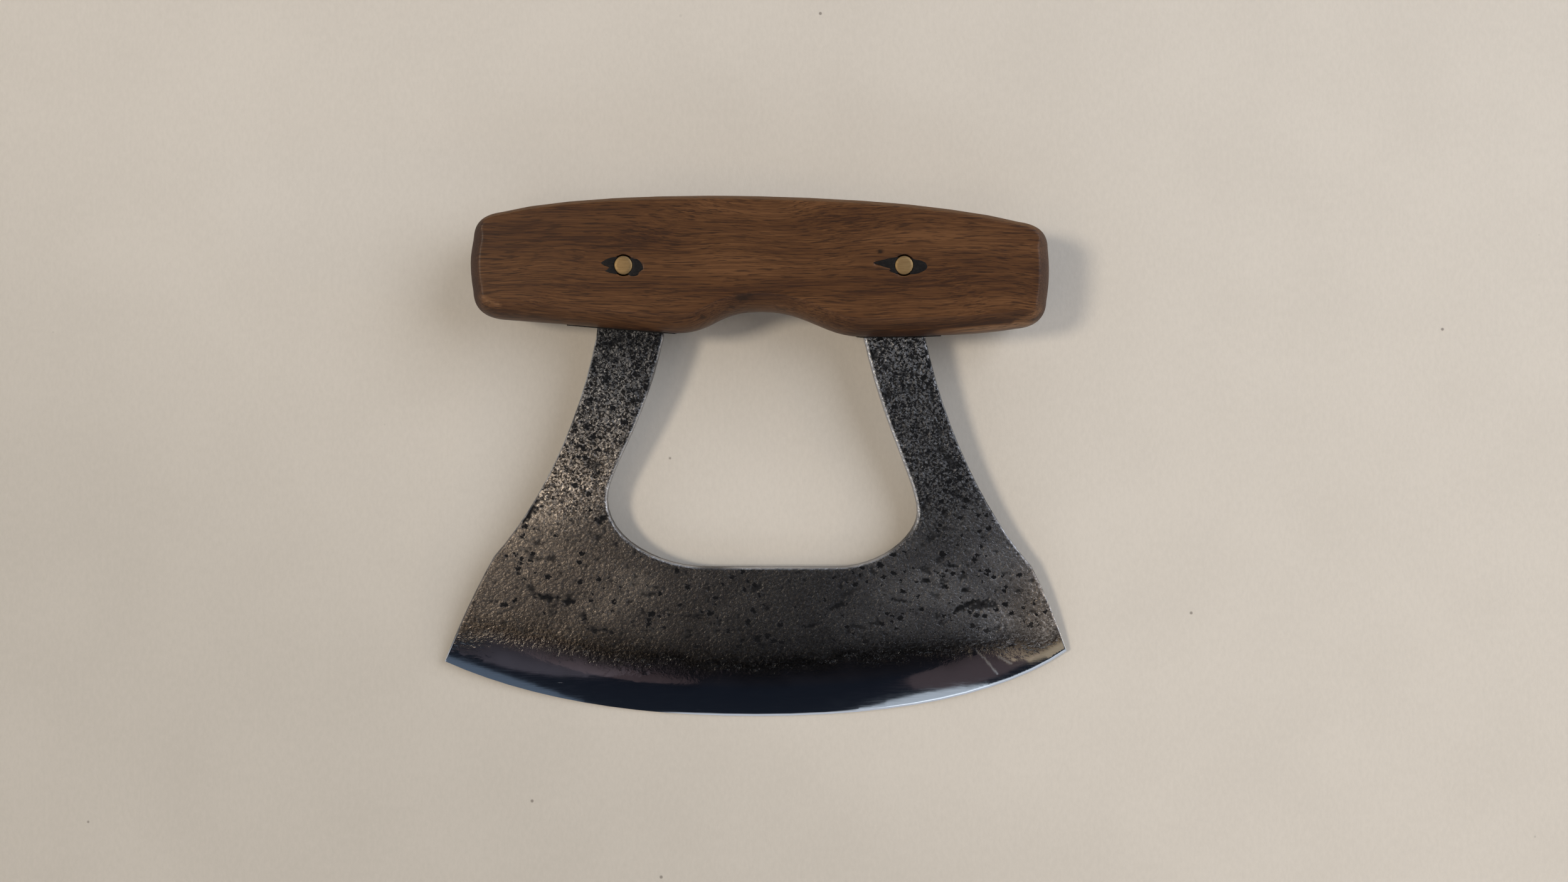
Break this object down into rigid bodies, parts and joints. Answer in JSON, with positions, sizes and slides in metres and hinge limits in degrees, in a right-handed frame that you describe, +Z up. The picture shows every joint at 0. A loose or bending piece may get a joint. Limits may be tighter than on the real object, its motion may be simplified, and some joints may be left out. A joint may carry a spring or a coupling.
{
  "type": "ulu knife",
  "caption": "Crescent ulu knife: forged steel blade on curved legs around a finger window, set with epoxy and brass pins into a one-piece walnut grip with a finger scallop.",
  "frame": {"origin": "on the table, under the middle of the box around the knife as it lies on its back", "axes": "+X along the blade from the left tip to the right tip, +Y from the cutting edge to the grip, +Z up from the table"},
  "size_m": [0.171, 0.1408, 0.0282],
  "materials": {
    "forged_steel": "dark forged skin with pits, ground bright towards the edge",
    "walnut": "oiled, satin",
    "brass": "sanded flush",
    "epoxy": "black, sanded flush"
  },
  "bodies": {
    "root": {"blade": "forged_steel", "handle": "walnut", "left_pin": "brass", "right_pin": "brass", "left_epoxy_bed": "epoxy", "right_epoxy_bed": "epoxy", "left_pin_fill": "epoxy", "right_pin_fill": "epoxy", "left_pin_tail_fill": "epoxy", "right_pin_tail_fill": "epoxy"}
  },
  "joints": []
}
